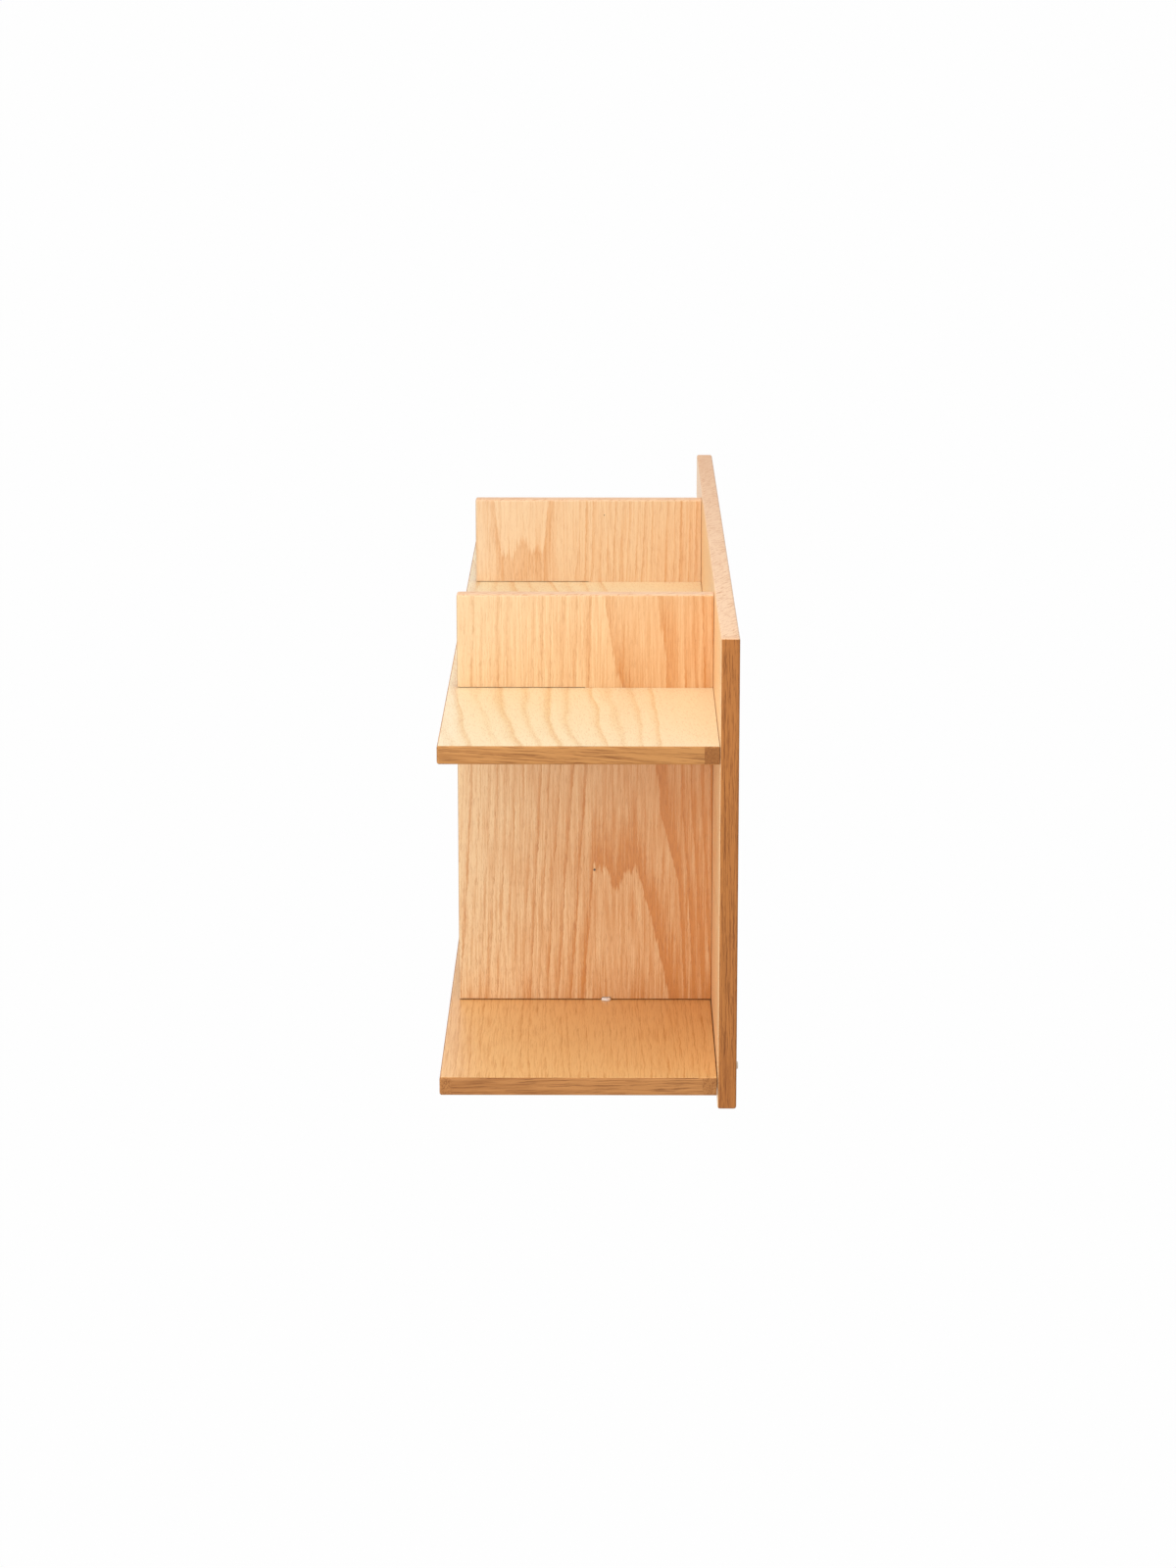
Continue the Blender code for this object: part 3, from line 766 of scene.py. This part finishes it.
def ring_tone(tree, count, leaf):
    """Dark at the start of a ring and fading through it, with some rings stronger than others."""
    uneven = tree.nodes.new("ShaderNodeTexNoise")
    uneven.noise_dimensions = "1D"
    uneven.inputs["Scale"].default_value = UNEVEN_SCALE
    uneven.inputs["Detail"].default_value = 1.0
    wire(tree, uneven.inputs["W"], maths(tree, "ADD", count, leaf["seed"]))
    count = scale_add(tree, uneven.outputs["Fac"], leaf["uneven"], count)
    strength = tree.nodes.new("ShaderNodeTexWhiteNoise")
    strength.noise_dimensions = "1D"
    wire(tree, strength.inputs["W"], maths(tree, "ADD", maths(tree, "FLOOR", count), leaf["draw"]))
    least, more = RING_STRENGTH
    band = ramp(tree, maths(tree, "FRACT", count), *leaf["curve"])
    share = scale_add(tree, strength.outputs["Value"], more, least)
    return maths(tree, "MULTIPLY", band, share)


# %% [markdown]
# ## The oak finish
#
# The colour runs from pale late wood to warm early wood, and the pores are darker still. They lie closest
# in the early wood, so the band lowers the level at which the dash noise counts as a pore. Pores are open
# under the lacquer, so they are also a little rougher, and sunk by a bump.

# %% The oak finish
TONE_NOISE = (                          # scale across and along, strength and detail of each layer of lines
    (150.0, 2.5, 0.4, 2.0), (330.0, 10.0, 0.5, 2.0), (700.0, 20.0, 1.0, 0.0), (9.0, 4.0, 0.4, 3.0),
)
PORE_LEVEL, PORE_SPAN = 0.535, 0.08     # noise above this level is a pore, over this span
EARLY_PORES = 0.05                      # how much lower the level is in early wood
EARLY_DEPTH = 0.25                      # how much darker its pores are
FLECKS = 0.25, 2.3, 4.0                 # share of the fine set, and how much finer it is across and along
KNOT = (0.03, 0.015, 0.01)
KNOT_CURVE = ((0.0, 1.0), (0.5, 0.9), (1.0, 0.0))
END_CURVE = ((0.6, 0.0), (0.9, 1.0))
END_CALM = 0.4                          # how much of the lines a cut end loses
SATIN, OPEN_PORE = 0.45, 0.15           # roughness of the wood, and how much rougher a pore is
COAT_ROUGHNESS = 0.35
BAND_SINK, PORE_SINK = 0.25, 0.75       # how deep early wood and pores lie, as shares of the relief
RELIEF, RELIEF_STRENGTH = 0.00004, 0.5


def clamped(tree, value):
    return maths(tree, "MINIMUM", maths(tree, "MAXIMUM", value, 0.0), 1.0)


def fine_lines(tree, place, leaf):
    """Layers of noise that is drawn out along the grain, from broad streaks to hair lines."""
    lines = 0.0
    for number, (wide, long, amount, detail) in enumerate(TONE_NOISE):
        shift = leaf["seed"] + DRAWS["lines"] + number
        noise = sway(tree, place, wide * leaf["close"], long, shift, detail)
        lines = scale_add(tree, noise, amount, lines)
    return lines


def pore_dashes(tree, place, band, leaf):
    """Short dashes along the grain, close together in the early wood, and a finer set between them."""
    level = scale_add(tree, band, -EARLY_PORES, PORE_LEVEL)
    wide, long = leaf["pore_scale"]
    share, finer, shorter = FLECKS
    coarse = stretched_noise(tree, place, (wide, wide, long), leaf["seed"] + DRAWS["pores"], 2.0)
    flecks = (finer * wide, finer * wide, shorter * long)
    fine = stretched_noise(tree, place, flecks, leaf["seed"] + DRAWS["flecks"], 1.0)
    dashes = scale_add(tree, fine, share, maths(tree, "MULTIPLY", coarse, 1 - share))
    return clamped(tree, maths(tree, "DIVIDE", maths(tree, "SUBTRACT", dashes, level), PORE_SPAN))


def pin_knot(tree, sockets, colour, spot):
    """A tiny dark eye in the leaf."""
    aside = maths(tree, "SUBTRACT", sockets[0], spot[0])
    ahead = maths(tree, "SUBTRACT", sockets[2], spot[1])
    squares = scale_add(tree, aside, aside, maths(tree, "MULTIPLY", ahead, ahead))
    away = maths(tree, "DIVIDE", maths(tree, "SQRT", squares), spot[2])
    return mix_colours(tree, ramp(tree, away, *KNOT_CURVE), colour, KNOT)


def end_grain(tree, axis):
    """1 on a face that is cut across the grain."""
    parts = tree.nodes.new("ShaderNodeSeparateXYZ")
    tree.links.new(tree.nodes.new("ShaderNodeNewGeometry").outputs["True Normal"], parts.inputs[0])
    return ramp(tree, maths(tree, "ABSOLUTE", parts.outputs[axis]), *END_CURVE)


def lacquer(tree, shader, band, pores, leaf):
    """A satin coat over the wood, rougher and sunk where pores are open."""
    wire(tree, shader.inputs["Roughness"], scale_add(tree, pores, OPEN_PORE, SATIN))
    shader.inputs["Specular IOR Level"].default_value = leaf["specular"]
    shader.inputs["Coat Weight"].default_value = leaf["gloss"]
    shader.inputs["Coat Roughness"].default_value = COAT_ROUGHNESS
    height = scale_add(tree, band, -BAND_SINK, maths(tree, "MULTIPLY", pores, -PORE_SINK))
    add_bump(tree, shader, height, RELIEF, RELIEF_STRENGTH)


def oak(name, axes, face, colours, **changes):
    """Lacquered oak, with a leaf of its own: axes are along the grain, across it and in depth."""
    leaf = {**LEAF, **changes}
    pale, warm, pore = colours
    finish, tree, shader = new_finish(name)
    place, sockets = leaf_place(tree, axes, leaf)
    count, aside = rings(tree, place, sockets, face, leaf)
    band = ring_tone(tree, count, leaf)
    figure = scale_add(tree, aside, leaf["figure"] * leaf["swing"], leaf["figure"])
    tone = scale_add(tree, aside, leaf["slide"], leaf["warmth"])
    tone = scale_add(tree, sockets[2], leaf["drift"], tone)
    lines = maths(tree, "MULTIPLY", fine_lines(tree, place, leaf), leaf["streaks"])
    if leaf["end_grain"]:
        ends = end_grain(tree, axes[0])
        tone = scale_add(tree, ends, leaf["end_grain"], tone)
        lines = maths(tree, "MULTIPLY", lines, scale_add(tree, ends, -END_CALM, 1.0))
    strength = scale_add(tree, sockets[2], -leaf["fade"], 1.0)
    grain = scale_add(tree, band, figure, lines)
    tone = scale_add(tree, grain, strength, tone)
    pores = pore_dashes(tree, place, band, leaf)
    colour = mix_colours(tree, clamped(tree, tone), pale, warm)
    depth = maths(tree, "MULTIPLY", scale_add(tree, band, EARLY_DEPTH, leaf["pores"]), strength)
    colour = mix_colours(tree, maths(tree, "MULTIPLY", pores, depth), colour, pore)
    if leaf["knot"]:
        colour = pin_knot(tree, sockets, colour, leaf["knot"])
    tree.links.new(colour, shader.inputs["Base Color"])
    lacquer(tree, shader, band, pores, leaf)
    return finish


# %% [markdown]
# ## A leaf for each board
#
# The near upright has the boldest figure: one twin-peaked arch low down, a dark tongue above the shelf
# and close straight stripes towards the front. The tongue is the flank of the next arch, which leans
# over: the rings rise more slowly from the middle of the board on, and a crown moves them aside. On the
# far upright the arch hangs the other way up. The upper shelf is pale with a few wandering lines, and the
# lower shelf is finely streaked. Each wood has three colours: pale, warm and pore. The upper shelf's
# colours are paler, partly its own tone and partly painted light from above, and the lower shelf's are
# oranger and darker, partly its own tone and partly painted warm shade in the bay under the upper shelf.

# %% Cut the leaves
OAK = (0.85, 0.605, 0.36), (0.71, 0.345, 0.12), (0.55, 0.235, 0.085)
# The upper shelf's colours hold painted light from above, and the lower shelf's painted warm shade, each
# besides the leaf's own tone.
PALE_OAK = (0.87, 0.70, 0.425), (0.77, 0.48, 0.20), (0.68, 0.38, 0.17)
ORANGE_SHADED_OAK = (0.90, 0.535, 0.21), (0.69, 0.31, 0.075), (0.55, 0.22, 0.05)
CREAM_OAK = (0.93, 0.62, 0.325), (0.85, 0.475, 0.195), (0.74, 0.36, 0.15)
RICH_OAK = (0.87, 0.61, 0.335), (0.64, 0.27, 0.065), (0.48, 0.18, 0.05)


def seen_face(board):
    """Where the face with the leaf's own figure lies along the thin axis: the higher of the two."""
    return box_of(members(board))[1][THIN_AXIS[board]]


leaves = {
    "right_upright": oak(
        "near_upright_leaf", "ZYX", seen_face("right_upright"), RICH_OAK, heart=-0.124, rise=5.6,
        phase=0.23, bend=(0.0, -3.4), crown=(0.07, 0.13, 0.0139, 0.12, 0.025, 24.0),
        spread=((0.023, 72.0, 24.0), (0.066, 35.0, 80.0)), notch=(0.14, 0.008), swell=(0.08, 50.0, 12.0),
        # Slide and drift paint shade here: the leaf grows warmer and darker towards the panel, partly its
        # own tone, and towards the foot, under the upper shelf.
        fray=(0.12, 480.0, 16.0), uneven=0.25, figure=0.65, swing=1.5, warmth=0.43, slide=2.4, drift=-0.5,
        # fade paints light: the grain washes out towards the lit top.
        fade=1.6, knot=(-0.1469, -0.0651, 0.0018), draw=222.5, seed=2.0),
    "left_upright": oak(
        "far_upright_leaf", "ZYX", seen_face("left_upright"), OAK, heart=-0.236, rise=-3.5, phase=0.18,
        # fade paints light: the grain washes out towards the lit top.
        notch=(0.06, 0.008), warmth=0.1, fade=1.3, knot=(-0.1383, 0.2147, 0.0009), seed=5.0),
    "upper_shelf": oak(
        "upper_shelf_leaf", "XYZ", seen_face("upper_shelf"), PALE_OAK, heart=-0.04, slant=-0.08, rise=0.1,
        phase=0.45, spread=((0.07, 45.0, 45.0),), wander=(0.03, 6.0, 3.0), ripple=(0.003, 30.0, 18.0),
        fray=(0.05, 700.0, 250.0), curve=SOFT_CURVE, figure=0.8, streaks=0.3, pores=0.35,
        pore_scale=(1100.0, 110.0), draw=9.0, seed=9.0),
    "lower_shelf": oak(
        "lower_shelf_leaf", "XYZ", seen_face("lower_shelf"), ORANGE_SHADED_OAK, heart=0.1, rise=2.0,
        spread=((0.025, 120.0, 120.0),), ripple=(0.001, 90.0, 60.0), fray=(0.15, 480.0, 60.0), figure=0.75,
        # slide paints light here: the leaf grows paler towards the panel, against the shade that the panel
        # casts.
        warmth=-0.2, slide=-0.4, streaks=1.9, pores=0.35, pore_scale=(1200.0, 25.0), seed=13.0),
    "back_panel": oak(
        "panel_leaf", "XZY", seen_face("back_panel"), CREAM_OAK, heart=0.05,
        spread=((0.03, 28.0, 28.0), (0.08, 70.0, 70.0)), figure=0.6, streaks=0.7, pores=0.35, seed=19.0),
}
print("made", len(leaves), "oak leaves")

# %% [markdown]
# ## Lippings
#
# The lippings are strips of solid oak. Those on the ends and fronts are a golden brown, and those that
# face up are paler. The grain follows each strip's length, so the long edges show streaks and the cut
# ends show dark end grain. A leaf covers the wide faces of its whole board, lippings too, so only the
# narrow faces show the solid wood. Faces are chosen by their normals: the narrow ones get the second
# material slot, and those that face up the third. At the front corners of the upper shelf the end strips
# seem to cover the front one, so its ends get the streaks of an end strip by way of a fourth slot.

# %% Lipping oak
GOLDEN = (0.60, 0.275, 0.085), (0.36, 0.135, 0.034), (0.20, 0.065, 0.018)
RUSSET = (0.57, 0.25, 0.08), (0.33, 0.12, 0.03), (0.18, 0.058, 0.016)
CHESTNUT = (0.51, 0.19, 0.047), (0.27, 0.082, 0.018), (0.14, 0.036, 0.008)
PALE_EDGE = (0.87, 0.58, 0.36), (0.76, 0.43, 0.23), (0.66, 0.34, 0.18)


def lipping_axes(node):
    """Along the strip, across its wider side and through it."""
    low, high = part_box(node)
    size = high - low
    return "".join("XYZ"[axis] for axis in sorted(range(3), key=lambda axis: -size[axis]))


LIP_SEED, LIP_SEED_STEP = 31.0, 3
SOLID_OAK = {
    "heart": 0.03, "rise": 1.5, "spread": ((0.0, 240.0, 240.0),), "ripple": (0.0007, 150.0, 90.0),
    "figure": 0.45, "gloss": 0.0, "specular": 0.2,
}
TINTS = {
    "golden": (GOLDEN, {"slant": 0.06, "streaks": 1.6, "pores": 0.5, "pore_scale": (900.0, 25.0),
                        "end_grain": 0.9}),
    "russet": (RUSSET, {"slant": -0.03, "streaks": 1.6, "pores": 0.5, "pore_scale": (900.0, 25.0),
                        "end_grain": 0.35}),
    "chestnut": (CHESTNUT, {"slant": 0.01, "drift": -0.7, "streaks": 1.2, "close": 1.2, "pores": 0.5,
                            "pore_scale": (1300.0, 45.0), "end_grain": 0.5}),
    "pale": (PALE_EDGE, {"slant": 0.5, "warmth": 0.15, "drift": -0.8, "streaks": 0.6, "pores": 0.75,
                         "pore_scale": (450.0, 65.0), "end_grain": 0.5}),
}
lip_finishes = {}
for number, axes in enumerate(sorted({lipping_axes(node) for node in oak_pieces if "lipping" in node})):
    for tint, (colours, grain) in TINTS.items():
        lip_finishes[axes, tint] = oak(f"{tint}_lipping_{axes.lower()}", axes, 0.0, colours,
                                       **SOLID_OAK, **grain, seed=LIP_SEED + LIP_SEED_STEP * number)
print("made", len(lip_finishes), "lipping finishes")

# %% Both finishes on the boards
# Where the leaf ends on a rounding paints light: on the panel's front it runs far round the arris as a
# painted highlight, and on the shelves' tops the darker lipping runs far up the arris as a painted line of
# shade.
LEAF_REACH = {                          # least share of a normal that the leaf covers, on its two sides
    "back_panel": (0.75, 0.95), "upper_shelf": (0.95, 0.85), "lower_shelf": (0.95, 0.85),
    "left_upright": (0.5, 0.5), "right_upright": (0.5, 0.5),
}
BOARD_TINT = {"back_panel": "chestnut", "lower_shelf": "russet"}
COVERED_END = "upper_shelf_front_lipping", "upper_shelf_right_lipping"
UP = 0.5                                # least share of a normal that points up, or along the strip


def give_faces(piece, number, wanted):
    select_parts(piece, "FACE", wanted)
    piece.active_material_index = number
    bpy.ops.object.material_slot_assign()
    bpy.ops.object.mode_set(mode="OBJECT")


for board, axis in THIN_AXIS.items():
    first, second = LEAF_REACH[board]
    tint = BOARD_TINT.get(board, "golden")
    for node in members(board):
        piece = oak_pieces[node]
        piece.data.materials.clear()
        piece.data.materials.append(leaves[board])
        if "lipping" not in node:
            continue
        piece.data.materials.append(lip_finishes[lipping_axes(node), tint])
        piece.data.materials.append(lip_finishes[lipping_axes(node), "pale"])
        give_faces(piece, 1, lambda face: -first < face.normal[axis] < second)
        if axis != 2:
            give_faces(piece, 2, lambda face: face.normal.z > UP)
    print(board, "has its leaf and", tint, "lippings")
front, end = COVERED_END
oak_pieces[front].data.materials.append(lip_finishes[lipping_axes(end), "golden"])
give_faces(oak_pieces[front], 3, lambda face: abs(face.normal.x) > UP and abs(face.normal.z) < UP)

# %% [markdown]
# ## Small finishes
#
# The fittings need only a few centimetres of finish, but a single flat colour would look like a
# placeholder. Zinc and plated steel get a mottled roughness, the pegs a faint cloudiness, the rubber a
# milky depth, and the dowels the short flecks of beech.

# %% Metal, plastic, rubber and beech
CLOUD_SHIFT, CLOUD_DETAIL = 1.3, 4.0
CLOUD_ROUGHNESS = 0.2                   # how much rougher the dark clouds are
CLOUD_RELIEF, CLOUD_STRENGTH = 0.00002, 0.5


def mottled(name, pale, dark, scale, roughness, metallic=0.0):
    finish, tree, shader = new_finish(name)
    cloud = stretched_noise(tree, place_on_shelf(tree), scale, CLOUD_SHIFT, CLOUD_DETAIL)
    tree.links.new(mix_colours(tree, cloud, pale, dark), shader.inputs["Base Color"])
    wire(tree, shader.inputs["Roughness"], scale_add(tree, cloud, CLOUD_ROUGHNESS, roughness))
    shader.inputs["Metallic"].default_value = metallic
    add_bump(tree, shader, cloud, CLOUD_RELIEF, CLOUD_STRENGTH)
    return finish


zinc = mottled("zinc_plate", (0.72, 0.72, 0.70), (0.50, 0.50, 0.48), (900, 900, 900), 0.22, 1.0)
steel = mottled("plated_steel", (0.66, 0.66, 0.65), (0.46, 0.46, 0.45), (260, 260, 1400), 0.28, 1.0)
plastic = mottled("white_plastic", (0.93, 0.89, 0.85), (0.88, 0.82, 0.77), (500, 500, 500), 0.3)
rubber = mottled("clear_rubber", (0.86, 0.83, 0.78), (0.76, 0.72, 0.66), (420, 420, 420), 0.2)
beech = mottled("beech", (0.78, 0.56, 0.36), (0.62, 0.40, 0.23), (900, 900, 160), 0.5)
for pieces, finish in ((plates, steel), (screws, zinc), (pegs, plastic), (bumpers, rubber)):
    for piece in pieces.values():
        piece.data.materials.clear()
        piece.data.materials.append(finish)
dowels = [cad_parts[node] for node in sorted(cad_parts) if "_dowel_" in node]
for dowel in dowels:
    dowel.data.materials.clear()
    dowel.data.materials.append(beech)
print("the", len(dowels), "dowels keep their CAD shape")

# %% [markdown]
# ## Floor and light
#
# The shelf hangs on a wall, so the floor is far below it and catches only a faint shadow. It lies lower
# than in a real room, which leaves a camera space to look up at the underside. The light is that of a
# plain studio: a wide soft lamp overhead, another off the near end, both a little to the front, and an
# even sky all round. The camera sees the floor and the sky as white by way of the Light Path node, so no
# extra light falls on the oak for the sake of a white picture.

# %% Floor, sky and lamps
FLOOR_DROP, FLOOR_SIZE = 3.0, 200.0
PAPER, PAPER_ROUGHNESS = (0.9, 0.9, 0.9, 1.0), 0.9
PAPER_GLOW = 0.98                       # how far the floor is white to the camera
WHITE = (1.0, 1.0, 1.0, 1.0)
SKY = 0.6
MIDDLE = (0.0, -0.15, 0.0)


def seen_directly(tree):
    """1 where the camera, a reflection or a clear body looks at the surface, and 0 for light on the oak."""
    path = tree.nodes.new("ShaderNodeLightPath")
    seen = maths(tree, "MAXIMUM", path.outputs["Is Camera Ray"], path.outputs["Is Glossy Ray"])
    return maths(tree, "MAXIMUM", seen, path.outputs["Is Transmission Ray"])


bpy.ops.object.select_all(action="DESELECT")
bpy.ops.mesh.primitive_plane_add(size=FLOOR_SIZE, location=(0, 0, -FLOOR_DROP))
floor = bpy.context.object
floor.name = "floor"
paper, tree, shader = new_finish("floor_paper")
shader.inputs["Base Color"].default_value = PAPER
shader.inputs["Roughness"].default_value = PAPER_ROUGHNESS
glow = tree.nodes.new("ShaderNodeEmission")
glow.inputs["Color"].default_value = WHITE
mixer = tree.nodes.new("ShaderNodeMixShader")
wire(tree, mixer.inputs[0], maths(tree, "MULTIPLY", seen_directly(tree), PAPER_GLOW))
tree.links.new(shader.outputs[0], mixer.inputs[1])
tree.links.new(glow.outputs[0], mixer.inputs[2])
tree.links.new(mixer.outputs[0], tree.nodes["Material Output"].inputs["Surface"])
floor.data.materials.append(paper)

sky = bpy.data.worlds.new("studio")
sky.use_nodes = True
bpy.context.scene.world = sky
background = sky.node_tree.nodes["Background"]
background.inputs["Color"].default_value = WHITE
strength = scale_add(sky.node_tree, seen_directly(sky.node_tree), 1.0 - SKY, SKY)
wire(sky.node_tree, background.inputs["Strength"], strength)


def add_lamp(name, place, aim, size, power):
    bpy.ops.object.light_add(type="AREA", location=place)
    lamp = bpy.context.object
    lamp.name = name
    lamp.data.size = size
    lamp.data.energy = power
    lamp.rotation_euler = (Vector(aim) - Vector(place)).to_track_quat("-Z", "Y").to_euler()
    lamp.visible_camera = False
    print(name, "at", place, "with", power, "W")


add_lamp("overhead", (0.9, -0.7, 2.4), MIDDLE, 2.6, 38.0)
add_lamp("near_end", (3.6, -1.6, 0.5), MIDDLE, 2.4, 50.0)

# %% [markdown]
# ## Camera
#
# The view looks along the shelf from its right-hand end and a little from above, through a long lens, so
# that the far end is only slightly smaller. The camera is tipped down instead of shifted, which keeps the
# shelf in the middle of the picture from every other side too.

# %% Place the camera
VIEW_PLACE = (4.5547, -0.1286, 1.0248)
VIEW_PITCH, VIEW_TURN = math.radians(13.230), math.radians(0.342)
LENS = 94.014

tip = (math.pi / 2 - VIEW_PITCH, 0, math.pi / 2 + VIEW_TURN)
bpy.ops.object.camera_add(location=VIEW_PLACE, rotation=tip)
camera = bpy.context.object
camera.data.lens = LENS
camera.data.clip_end = FLOOR_SIZE
bpy.context.scene.camera = camera
bpy.context.scene.view_settings.view_transform = "Standard"
near_end = Vector((cad_box[1].x, *MIDDLE[1:]))
print("camera", round((camera.location - near_end).length, 2), "m from the near end")
